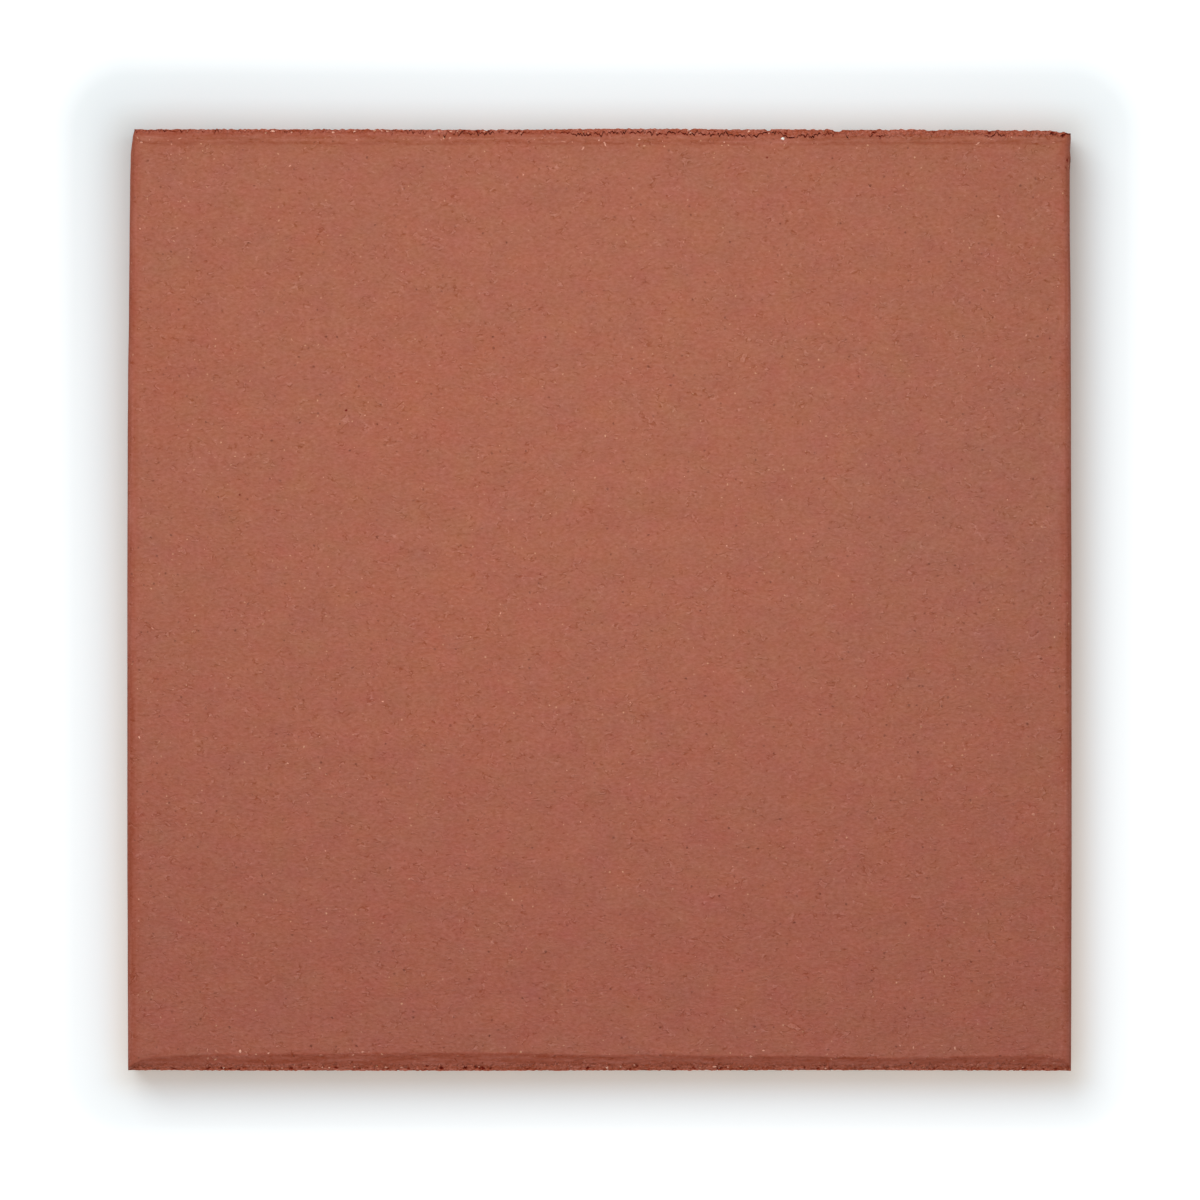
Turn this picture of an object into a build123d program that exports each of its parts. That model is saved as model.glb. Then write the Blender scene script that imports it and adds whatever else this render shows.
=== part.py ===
"""Quarry tile: one solid piece of extruded, unglazed, fired red clay, lying on its keyed back.

The clay leaves the die as a flat column that runs along Y, so all that the die forms is one section
in XZ carried along Y: the walking face, both long sides with their soft arrises, and the dovetail
keys of the back. A knife then parts the column across. It drags the wet clay down at both cut ends,
which leaves a bevel under a wandering arris, and it pulls one corner of the far end inwards.

The origin is the centre of the underside, +Z points out of the walking face, and Y runs along
the column from one cut end to the other.
"""

import os

from build123d import *

# Overall size in millimetres
WIDTH = 150.0
LENGTH = 150.0
THICKNESS = 12.5

# Long sides, formed by the die
FACE_ARRIS_RADIUS = 1.4
BACK_ARRIS_RADIUS = 0.8

# Keyed back: dovetail grooves along the column, wider at the root than at the mouth
GROOVE_COUNT = 8
GROOVE_PITCH = 17.0
GROOVE_MOUTH = 8.0
GROOVE_ROOT = 9.4
GROOVE_DEPTH = 1.6
GROOVE_ROOT_RADIUS = 0.5
GROOVE_LIP_RADIUS = 0.35

# Corners seen from above: three are only worn round, the fourth was dragged inwards by the knife
CORNER_RADIUS = 0.9
DRAG_LENGTH = 5.0
DRAG_INSET = 1.0
DRAG_RADIUS = 20.0

# Arris of each cut end, as places across the column and how far each lies in from the cut
NEAR_ARRIS = [(-72.0, 2.2), (-45.0, 2.65), (-20.0, 2.75), (2.0, 2.4), (24.0, 2.3), (47.0, 2.0), (72.0, 2.4)]
FAR_ARRIS = [(-71.5, 2.4), (-38.0, 2.5), (-6.0, 2.4), (26.0, 2.5), (50.0, 2.35), (72.0, 2.25)]

# Bevel below each arris. It is ruled to a straight line a little outside the cut.
BEVEL_REACH = 1.0
BEVEL_DROP = 1.9
RUNOUT_INSET = 0.35

# How far the cutting shapes reach past the clay
OVERSHOOT = 5.0


def key_section():
    """One dovetail groove of the die's section, with its mouth on the underside."""
    with BuildSketch() as key:
        with BuildLine():
            Polyline(
                (-GROOVE_MOUTH / 2, 0),
                (-GROOVE_ROOT / 2, GROOVE_DEPTH),
                (GROOVE_ROOT / 2, GROOVE_DEPTH),
                (GROOVE_MOUTH / 2, 0),
                close=True,
            )
        make_face()
    return key.sketch_local


def plan_outline():
    """The outline seen from above, with the dragged corner at the left of the far end."""
    drag_start = (-WIDTH / 2, LENGTH / 2 - DRAG_LENGTH)
    with BuildSketch() as outline:
        with BuildLine():
            Polyline(
                (-WIDTH / 2, -LENGTH / 2),
                (WIDTH / 2, -LENGTH / 2),
                (WIDTH / 2, LENGTH / 2),
                (DRAG_INSET - WIDTH / 2, LENGTH / 2),
                drag_start,
                close=True,
            )
        make_face()
        fillet(vertices().sort_by_distance(drag_start)[1:], CORNER_RADIUS)
        fillet(vertices().sort_by_distance(drag_start)[0], DRAG_RADIUS)
    return outline.sketch_local


def bevel_cutter(arris, end):
    """The clay that one cut end loses: from its arris on the face, ruled down to a line past the cut.

    The arris is a curve through its middle places. At each side it turns out to the corner in a
    short curve, where the bevel runs out. `end` is +1 at the far cut and -1 at the near one.
    """
    cut = LENGTH / 2
    side = WIDTH / 2
    outside = cut + OVERSHOOT
    first, last = arris[0], arris[-1]
    places = [(x, end * (cut - inset)) for x, inset in arris]
    left_corner = (-side, end * (cut - RUNOUT_INSET))
    right_corner = (side, end * (cut - RUNOUT_INSET))
    along = (1, 0)
    with BuildPart() as cutter:
        with BuildSketch(Plane.XY.offset(THICKNESS)):
            with BuildLine():
                Spline(left_corner, places[0], tangents=[(0, -end), along])
                Spline(*places, tangents=[along, along])
                Spline(places[-1], right_corner, tangents=[along, (0, end)])
                Polyline(right_corner, (side, end * outside), (-side, end * outside), left_corner)
            make_face()
        with BuildSketch(Plane.XY.offset(THICKNESS - BEVEL_DROP)):
            with BuildLine():
                foot = end * (cut + BEVEL_REACH)
                Polyline((-side, foot), (first[0], foot), (last[0], foot), (side, foot))
                Polyline((side, foot), (side, end * outside), (-side, end * outside), (-side, foot))
            make_face()
        loft(ruled=True)
    return cutter.part


near_bevel = bevel_cutter(NEAR_ARRIS, -1)
far_bevel = bevel_cutter(FAR_ARRIS, 1)

with BuildPart() as tile:
    # The die's section, carried along the column
    with BuildSketch(Plane.XZ):
        with Locations((0, THICKNESS / 2)):
            Rectangle(WIDTH, THICKNESS)
        with GridLocations(GROOVE_PITCH, 0, GROOVE_COUNT, 1):
            add(key_section(), mode=Mode.SUBTRACT)
        fillet(vertices().group_by(Axis.Y)[-1], FACE_ARRIS_RADIUS)
        fillet(vertices().group_by(Axis.Y)[1], GROOVE_ROOT_RADIUS)
        fillet(vertices().group_by(Axis.Y)[0].group_by(SortBy.DISTANCE)[-1], BACK_ARRIS_RADIUS)
        fillet(vertices().group_by(Axis.Y)[0].sort_by(Axis.X)[1:-1], GROOVE_LIP_RADIUS)
    extrude(amount=LENGTH / 2, both=True)

    # The outline seen from above
    with BuildSketch():
        add(plan_outline())
    extrude(amount=THICKNESS + OVERSHOOT, both=True, mode=Mode.INTERSECT)

    # The two cut ends
    add(near_bevel, mode=Mode.SUBTRACT)
    add(far_bevel, mode=Mode.SUBTRACT)

tile.part.label = "quarry_tile"

os.makedirs("parts", exist_ok=True)
export_step(tile.part, "parts/quarry_tile.step")
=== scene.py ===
"""The looks of one quarry tile: a slab of extruded red clay with soft sides, dragged cut ends and a keyed back.

The slab is modelled at its place in the frame, with the walking face up and the column's run along Y.
"""

import math
import random
from dataclasses import dataclass

import bmesh
import bpy
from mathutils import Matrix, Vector, noise


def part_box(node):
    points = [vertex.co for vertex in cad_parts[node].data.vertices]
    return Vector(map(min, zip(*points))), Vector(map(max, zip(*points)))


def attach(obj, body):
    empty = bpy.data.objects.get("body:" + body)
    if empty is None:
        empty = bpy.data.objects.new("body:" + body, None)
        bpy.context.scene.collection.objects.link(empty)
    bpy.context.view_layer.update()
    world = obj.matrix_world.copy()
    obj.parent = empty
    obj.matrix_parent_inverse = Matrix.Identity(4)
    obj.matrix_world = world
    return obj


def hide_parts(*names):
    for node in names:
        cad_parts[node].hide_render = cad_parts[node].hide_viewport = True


MM = 0.001
TINY = 0.001 * MM

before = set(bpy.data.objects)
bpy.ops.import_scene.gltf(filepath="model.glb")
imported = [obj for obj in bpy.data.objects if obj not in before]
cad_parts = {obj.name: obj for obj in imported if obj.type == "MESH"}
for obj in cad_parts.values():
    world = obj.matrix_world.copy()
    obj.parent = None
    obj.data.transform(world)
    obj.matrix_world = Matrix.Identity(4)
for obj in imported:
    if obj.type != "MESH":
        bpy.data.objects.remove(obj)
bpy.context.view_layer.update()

# The slab's size, from the frame
NODE = "quarry_tile"
low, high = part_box(NODE)
WIDTH = high[0] - low[0]
LENGTH = high[1] - low[1]
THICKNESS = high[2] - low[2]
SIDE = WIDTH / 2
CUT = LENGTH / 2

# The die's section
FACE_ARRIS = 1.4 * MM
BACK_ARRIS = 0.8 * MM
GROOVE_COUNT = 8
GROOVE_PITCH = 17 * MM
GROOVE_MOUTH = 8 * MM
GROOVE_ROOT = 9.4 * MM
GROOVE_DEPTH = 1.6 * MM
LIP_ROUND = 0.5 * MM
ROOT_ROUND = 0.7 * MM
FLAT_BEFORE_ARRIS = 0.5 * MM

# How much of a face's direction has to lie along an axis for the face to look that way
FACING = 0.9

# How the slab is divided before it is shaped: levels up the sides, rows in from each cut, columns across
LEVELS = [3.2 * MM, 4.8 * MM, 6.4 * MM, 8 * MM, 9.6 * MM, 10.9 * MM]
CUT_LEVELS = [11.5 * MM, 11.9 * MM, 12.2 * MM]
FIELD_ROWS = 48
CRACK_ROWS = [0.6 * MM, 0.75 * MM, 0.9 * MM]
ARRIS_ROWS = [2.25 * MM, 2.4 * MM, 2.55 * MM]
LIP_ROWS = [0.15 * MM, 0.3 * MM, 0.45 * MM]
BEVEL_ROWS = [1.1 * MM, 1.4 * MM, 1.7 * MM, 2 * MM, 2.8 * MM, 3.2 * MM, 3.6 * MM]
TORN_ZONE = 1.1 * MM
END_ZONE = 4.2 * MM

# Arris of each cut end, as places across the face and how far each lies in from the cut, in millimetres
NEAR_ARRIS = [
    (-75.2, 0.2), (-74.6, 0.8), (-73.9, 1.25), (-72.5, 1.9), (-70, 2.15), (-66, 2.25), (-58, 2.6),
    (-45, 2.65), (-30, 2.75), (-20, 2.75), (-1, 2.4), (12, 2.35), (24, 2.3), (32, 2.2), (40, 2.05),
    (47, 1.95), (53, 2), (60.5, 2.2), (70.5, 2.4), (72.8, 2.05), (73.8, 1.7), (74.6, 1.15), (75.2, 0.6),
]
FAR_ARRIS = [
    (-75.2, 0.3), (-74.4, 1.4), (-73.4, 2.1), (-71.5, 2.4), (-38, 2.5), (-6, 2.4), (26, 2.5), (50, 2.35),
    (72, 2.25), (73.6, 2), (74.6, 1.2), (75.2, 0.3),
]
ARRIS_SOFTNESS = 0.18 * MM
ARRIS_WIDTH = 0.14 * MM
ARRIS_WANDER = [(2.4 * MM, 0.16 * MM), (1.1 * MM, 0.12 * MM)]
CREASE_WIDTH = 1.6 * ARRIS_WIDTH
BEVEL_DROP = 1.5 * MM
BEVEL_BOW = 0.88
BEVEL_SAWN = 0.3
LEAST_BEVEL = 0.5 * MM
SQUASH_FROM = 9.6 * MM

# How raw the clay of each long side is, how far in from it the die has formed the face, and where a bevel's
# rawness fades
LEFT_RAW = 0.75
RIGHT_RAW = 0.5
FORMED_FROM = 2.3 * MM
FORMED_TO = 0.4 * FACE_ARRIS
RAW_FADES = (0.8 * MM, 1.6 * MM)

# Torn lip of each cut end: where its crack runs, in millimetres in from the cut, and how open it is, 0 to 1
FAR_CRACK = [
    (-75, 0.3), (-60, 0.4), (-45, 0.35), (-28, 0.45), (-24, 0.7), (-18, 0.7), (-17, 0.45), (-13, 0.6),
    (-11, 0.6), (-5, 0.6), (-3.5, 0.85), (-2, 1), (0.1, 0.8), (1.9, 0.6), (3.8, 0.6), (6, 0.5), (8.7, 0.62),
    (9.9, 0.85), (11.6, 0.5), (13, 0.6), (14, 0.85), (15.9, 0.6), (17.2, 1), (18.6, 0.85), (19.5, 0.75),
    (22.1, 1.1), (23.2, 1.1), (24.5, 1.25), (25.7, 0.75), (26.9, 0.5), (28.6, 0.6), (29.6, 1.35),
    (30.5, 1.65), (32.3, 1), (33.7, 1.25), (34.7, 0.85), (36.7, 0.85), (38.2, 0.6), (40, 0.75), (43.4, 1),
    (44.4, 1.3), (46, 0.9), (52, 0.8), (60, 0.75), (62, 1.2), (63.1, 0.7), (64, 1.2), (70, 0.9), (72, 0.8),
    (73.2, 1.3), (75, 1),
]
FAR_CRACK_OPEN = [
    (-75, 0.2), (-72, 0.2), (-71, 0.4), (-67, 0.4), (-66, 0.2), (-50, 0.15), (-33, 0.15), (-31, 0.45),
    (-28, 0.4), (-27, 0.15), (-24, 0.2), (-23.4, 0.6), (-21, 0.7), (-17.2, 0.8), (-16.5, 0.1), (-13.5, 0.6),
    (-11.5, 0.55), (-10, 0.1), (-6, 0.3), (-4, 1), (0, 0.8), (8, 0.8), (14, 1), (25, 1), (27, 0.8), (30, 1),
    (33, 0.8), (37, 0.6), (38.5, 0), (42.5, 0), (43, 0.7), (44.8, 0.7), (45.3, 0), (61, 0), (61.7, 0.8),
    (62.6, 0.9), (63.3, 0.7), (64.2, 0.8), (64.8, 0), (71.5, 0), (72, 0.7), (73, 0.3), (74, 0.9), (75, 0.6),
]
NEAR_CRACK = [
    (-75, 0.7), (-70, 0.55), (-64, 0.5), (-58, 0.65), (-50, 0.55), (-44, 0.75), (-30, 0.6), (-15, 0.7),
    (-4, 0.85), (4, 0.75), (10, 0.65), (20, 0.8), (31, 0.6), (45, 0.5), (58, 0.7), (66, 0.75), (72, 0.6),
    (75, 0.5),
]

# The crack: its depth and width, how its width and its opening swing along it, how jagged it runs and how far in
# it may, and how the lip outside it rises and leans over it
CRACK_DEPTH = 0.4 * MM
CRACK_WIDTH = 0.16 * MM
WIDTH_SWING = 0.9
WIDTH_WAVES = 0.6 * MM
WIDEST_SHARE = 0.6
FLUTTER_LEVEL = 0.85
FLUTTER_SWING = 2.2
FLUTTER_WAVES = 0.7 * MM
JAGGED = 0.75 * MM
JAGGED_WAVES = [(0.45 * MM, 0), (0.22 * MM, 5)]
FINE_SHARE = 0.6
FARTHEST_SHARE = 0.6
LEAST_LIP = 0.15 * MM
LIP_RISE = 0.15 * MM
LIP_OVERHANG = 0.8

# Edge of the far cut: shallow notches, as place, depth and half width, and its fall at the right corner
FAR_NOTCHES = [
    (-72, 0.06, 1.2), (-18, 0.12, 0.4), (14.2, 0.12, 0.3), (26.8, 0.3, 0.45), (37.8, 0.36, 0.8),
    (45.8, 0.2, 0.4), (52.6, 0.22, 1.2), (62, 0.12, 0.5),
]
FAR_EDGE = [
    (-75, 0.1), (-60, 0.08), (-40, 0.1), (-24, 0.16), (-10, 0.14), (-3, 0.05), (0, 0), (16, 0.02), (21, 0.15),
    (26, 0.08), (31, 0.1), (36, 0.16), (41, 0.2), (48, 0.12), (56, 0.2), (64, 0.27), (70, 0.32), (71.5, 0.35),
    (72.3, 0.5), (75, 0.8),
]
NEAR_EDGE = [(-75, 0.1), (-50, 0.02), (-20, 0.0), (10, 0.06), (40, 0.1), (55, 0.05), (75, 0.02)]
RAGGED_WAVES = 0.7 * MM
CUT_FACE_INSET = 0.3 * MM
CUT_FACE_SHARE = 0.95
CORNER_ROW = LIP_ROWS[-1]
CORNER_WEAR = 0.13 * MM
LIP_HEIGHT = 0.7 * MM

# Pits and nicks of both lips: place across, in from the cut, radius and depth, in millimetres
FAR_PITS = [
    (-21.5, 0.62, 0.3, 0.25), (-17.5, 0.5, 0.3, 0.3), (-19.4, 0.7, 0.45, 0.25), (29.6, 1, 0.35, 0.3),
    (43.6, 0.9, 0.35, 0.3), (53.1, 0.75, 0.3, 0.25), (59.8, 1.1, 0.3, 0.22), (62, 1, 0.35, 0.3),
    (73.9, 1.5, 0.35, 0.3), (72, 1, 0.4, 0.25), (74.2, 3, 0.4, 0.25), (74.6, 4.4, 0.4, 0.22),
    (71.3, 2.2, 0.4, 0.2),
]
NEAR_PITS = [
    (-70.8, 0.22, 0.3, 0.25), (-67.6, 0.42, 0.35, 0.28), (-62.2, 0.5, 0.4, 0.22), (-59.8, 0.58, 0.45, 0.3),
    (-58.6, 0.5, 0.35, 0.3), (-57.3, 0.35, 0.3, 0.25), (-52.3, 0.5, 0.4, 0.16), (-49, 0.58, 0.35, 0.25),
    (-43, 0.4, 0.25, 0.15), (-33.5, 0.45, 0.3, 0.2), (-17.4, 0.5, 0.3, 0.25), (-11.4, 0.5, 0.4, 0.2),
    (-5.2, 0.55, 0.3, 0.2), (-1.9, 0.58, 0.35, 0.32), (4.8, 0.42, 0.3, 0.25), (6, 0.95, 0.3, 0.25),
    (11.8, 0.42, 0.35, 0.28), (15.1, 0.55, 0.3, 0.25), (19.2, 0.58, 0.4, 0.36), (21, 0.35, 0.3, 0.25),
    (30.2, 0.4, 0.3, 0.18), (41.5, 0.35, 0.3, 0.18), (52.4, 0.4, 0.25, 0.18), (67.4, 0.5, 0.45, 0.3),
    (72.6, 0.42, 0.5, 0.2), (74.4, 0.8, 0.35, 0.22), (-18.6, 0.6, 0.45, 0.42), (-21.3, 0.6, 0.4, 0.38),
    (-25.1, 0.6, 0.4, 0.36), (-41.8, 0.75, 0.35, 0.32), (-19.6, 0.75, 0.35, 0.3), (34.7, 0.5, 0.3, 0.25),
    (-30.4, 0.48, 0.3, 0.22), (22.4, 0.6, 0.3, 0.22), (26.6, 0.75, 0.3, 0.24), (-38.2, 0.5, 0.3, 0.22),
    (-46.2, 0.75, 0.3, 0.24), (-27.4, 1, 0.3, 0.24),
]

# Shape of the lips' pits: how ragged, how squashed and how far in they are, and how much painted shade they take
# at what depth
PIT_RAGGED = 0.9
PIT_WAVES = (0.3 * MM, 0.2 * MM)
PIT_SQUASH = 1.8
PIT_SEAT = 0.8
PIT_SHADE = 0.75
FULL_SHADE_DEPTH = 0.25 * MM

# Pits strewn by chance, in millimetres: how far out along the lip, how far in, least radius, and depth
STREWN_REACH = 74.5
STREWN_INSETS = (0.15, 0.8)
STREWN_LEAST = 0.15
STREWN_DEPTHS = (0.08, 0.22)

# Small pits of the face: place across and along, in millimetres, and how deep, as a share of the deepest
FACE_PITS = [
    (-40.2, 30.1, 1), (-57.1, 16.7, 0.7), (26.6, 70.2, 0.7), (-9.4, 4.1, 0.6), (51, 30.1, 0.55),
    (-25.1, 42, 0.55), (58.2, 24.8, 0.5), (7.5, -58.4, 0.5), (-46.5, -47.6, 0.5), (21.3, -16.3, 0.5),
    (24.3, 49.7, 0.45), (-56.8, 25.7, 0.45), (-67.9, 23.3, 0.45), (-20.7, 33.6, 0.45), (-31.7, 29.6, 0.4),
    (65.9, -35.8, 0.4), (74.5, 69.8, 0.9), (74.3, 68.6, 0.5),
]
FACE_PIT_DEPTH = 0.16 * MM
FACE_PIT_RADIUS = 0.34 * MM
FACE_PIT_LEVEL = 0.05 * MM
# How much painted shade a face pit takes for its depth
FACE_PIT_SHADE = 1.15

# Long sides as fired: how far each lies inside the square, by place along the column, in millimetres
LEFT_SIDE = [
    (-75, 0.12), (-55, 0.06), (-40, 0), (0, 0), (25, 0.06), (35, 0.12), (46, 0.27), (58, 0.36), (66, 0.45),
    (71, 0.55), (73, 0.8), (75, 1.15),
]
RIGHT_SIDE = [
    (-75, 0.1), (-60, 0.05), (-40, 0), (0, 0.02), (25, 0.1), (46, 0.16), (60, 0.3), (69.6, 0.3), (70.4, 0.14),
    (71.3, 0.34), (72.2, 0.3), (72.8, 0.14), (75, 0.16),
]
SIDE_PULL = 8

# Relief of the clay: size of its waves along X, Y and Z, and how far it goes in
RELIEF_WAVES = {
    "skin": [((9 * MM, 4 * MM, 4 * MM), 0.2 * MM), ((3.6 * MM, 1.7 * MM, 1.7 * MM), 0.2 * MM)],
    "sawn": [((2.2 * MM, 2.2 * MM, 6 * MM), 0.25 * MM)],
    "torn": [((0.5 * MM, 0.35 * MM, 0.35 * MM), 0.3 * MM)],
}
RELIEF_MIDDLE = 0.7

# Turn at which two faces meet in a sharp edge, in degrees
SHARP_TURN = 50


def pick(kind, wanted):
    """Selects, in the piece being edited, only the vertices, edges or faces that pass the test."""
    mesh = bpy.context.edit_object.data
    bpy.ops.mesh.select_mode(type=kind)
    bpy.ops.mesh.select_all(action="DESELECT")
    shape = bmesh.from_edit_mesh(mesh)
    for item in {"VERT": shape.verts, "EDGE": shape.edges, "FACE": shape.faces}[kind]:
        if wanted(item):
            item.select_set(True)
    shape.select_flush_mode()
    bmesh.update_edit_mesh(mesh)


def middle(edge):
    """The middle of an edge."""
    return (edge.verts[0].co + edge.verts[1].co) / 2


def runs_along(edge, axis):
    """Whether an edge lies along one axis."""
    run = edge.verts[1].co - edge.verts[0].co
    return abs(abs(run[axis]) - run.length) < TINY


def at_level(place, level, columns):
    """Whether a place lies at one level, in one of the columns across the tile."""
    return abs(place.z - level) < TINY and min(abs(place.x - x) for x in columns) < TINY


def groove_centres():
    """The middle of each groove, across the tile."""
    return [(i - (GROOVE_COUNT - 1) / 2) * GROOVE_PITCH for i in range(GROOVE_COUNT)]


def cut_across(places, axis):
    """Cuts the whole piece at each place along one axis."""
    normal = [0, 0, 0]
    normal[axis] = 1
    for place in places:
        point = [0, 0, 0]
        point[axis] = place
        bpy.ops.mesh.select_all(action="SELECT")
        bpy.ops.mesh.bisect(plane_co=point, plane_no=normal)


def section_columns():
    """Where the section is divided across: each groove in four, each land in four, and the outer lands."""
    land = GROOVE_PITCH - GROOVE_ROOT
    columns = []
    for centre in groove_centres():
        columns += [centre + i * GROOVE_ROOT / 4 for i in (-2, -1, 0, 1, 2)]
        columns += [centre + GROOVE_PITCH / 2 + i * land / 4 for i in (-1, 0, 1)]
    columns = [x for x in columns if abs(x) < SIDE - 2 * land / 4 - GROOVE_ROOT / 4]
    last = max(columns)
    gap = (SIDE - FACE_ARRIS - FLAT_BEFORE_ARRIS - last) / 4
    outer = [last + gap * i for i in (1, 2, 3, 4)]
    return columns + outer + [-x for x in outer]


def die_section(tile):
    """Gives the slab the die's section: keyed back, then the rounded arrises."""
    bpy.ops.object.mode_set(mode="EDIT")
    cut_across(section_columns(), 0)
    half_root = GROOVE_ROOT / 2
    centres = groove_centres()

    def on_land(face):
        place = face.calc_center_median()
        return face.normal.z < -FACING and all(abs(place.x - c) > half_root for c in centres)

    pick("FACE", on_land)
    bpy.ops.mesh.extrude_region_move(TRANSFORM_OT_translate={"value": (0, 0, -GROOVE_DEPTH)})
    for centre in centres:
        pick("VERT", lambda v: v.co.z < TINY and abs(abs(v.co.x - centre) - half_root) < TINY)
        bpy.ops.transform.resize(value=(GROOVE_MOUTH / GROOVE_ROOT, 1, 1), center_override=(centre, 0, 0))
    cut_across(LEVELS, 2)

    def both_sides(half):
        return [centre + side * half for centre in centres for side in (-1, 1)]

    lips, roots, sides = both_sides(GROOVE_MOUTH / 2), both_sides(half_root), [-SIDE, SIDE]
    for columns, level, radius, segments in (
        (lips, 0, LIP_ROUND, 2),
        (roots, GROOVE_DEPTH, ROOT_ROUND, 3),
        (sides, 0, BACK_ARRIS, 3),
        (sides, THICKNESS, FACE_ARRIS, 7),
    ):
        pick("EDGE", lambda e: runs_along(e, 1) and at_level(middle(e), level, columns))
        bpy.ops.mesh.bevel(offset=radius, segments=segments, affect="EDGES")
    bpy.ops.object.mode_set(mode="OBJECT")


def divide(tile):
    """Divides the slab: rows along the column, finer on the face, and finest where the cut ends are torn."""
    bpy.ops.object.mode_set(mode="EDIT")
    field = CUT - END_ZONE
    cut_across([-field, field], 1)
    pick("EDGE", lambda e: runs_along(e, 1) and abs(middle(e).y) < TINY)
    bpy.ops.mesh.subdivide(number_cuts=FIELD_ROWS - 1)
    top = LEVELS[-1]

    # Walking face: five times the rows, and later twice the columns
    pick("EDGE", lambda e: runs_along(e, 1) and abs(middle(e).y) < field and middle(e).z > top + TINY)
    bpy.ops.mesh.subdivide(number_cuts=4)

    # Rows of the cut ends' bevels, and levels of the cut faces
    for inset in LIP_ROWS + CRACK_ROWS + BEVEL_ROWS + ARRIS_ROWS:
        for side in (-1, 1):
            pick("FACE", lambda f: f.calc_center_median().y * side > field and f.calc_center_median().z > top)
            bpy.ops.mesh.bisect(plane_co=(0, side * (CUT - inset), 0), plane_no=(0, 1, 0))
    for side in (-1, 1):
        pick("FACE", lambda f: f.calc_center_median().y * side > field and f.calc_center_median().z < top)
        bpy.ops.mesh.bisect(plane_co=(0, side * (CUT - CORNER_ROW), 0), plane_no=(0, 1, 0))
    for level in CUT_LEVELS:
        pick("FACE", lambda f: abs(f.normal.y) > FACING)
        bpy.ops.mesh.bisect(plane_co=(0, 0, level), plane_no=(0, 0, 1))

    # Columns: each zone halves or thirds those of the zone around it
    def is_column(edge, inset, level):
        place = middle(edge)
        if not runs_along(edge, 0) or place.z < level - TINY:
            return False
        on_cut = abs(place.y) > CUT - TINY
        return on_cut or (abs(place.y) > CUT - inset - TINY and place.z > THICKNESS - TINY)

    for inset, level, cuts in ((CUT, LEVELS[0], 1), (END_ZONE, LEVELS[-2], 1), (TORN_ZONE, LEVELS[-1], 2)):
        pick("EDGE", lambda e: is_column(e, inset, level))
        bpy.ops.mesh.subdivide(number_cuts=cuts)
    bpy.ops.object.mode_set(mode="OBJECT")


def between(places, x):
    """The value at x of a smooth line through (place, value) pairs, level at each of them."""
    if x <= places[0][0]:
        return places[0][1]
    for (x0, y0), (x1, y1) in zip(places, places[1:]):
        if x <= x1:
            t = (x - x0) / (x1 - x0)
            return y0 + (y1 - y0) * t * t * (3 - 2 * t)
    return places[-1][1]


def step(start, stop, value):
    """0 at the start and before it, 1 at the stop and past it, even between them."""
    return min(max((value - start) / (stop - start), 0), 1)


def soft_lower(a, b, softness):
    """The lower of two heights, with the corner between them rounded."""
    gap = max(softness - abs(a - b), 0) / softness
    return min(a, b) - gap * gap * softness / 4


def waver(x, size, *seeds):
    """Soft noise along the tile with waves of one size, from -1 to 1."""
    return noise.noise(Vector((x / size, *seeds)))


def section_height(x):
    """The height of the die's section at x, with its rounded arris."""
    past = abs(x) - (SIDE - FACE_ARRIS)
    if past <= 0:
        return THICKNESS
    return THICKNESS - FACE_ARRIS + math.sqrt(max(FACE_ARRIS**2 - past**2, 0))


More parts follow.
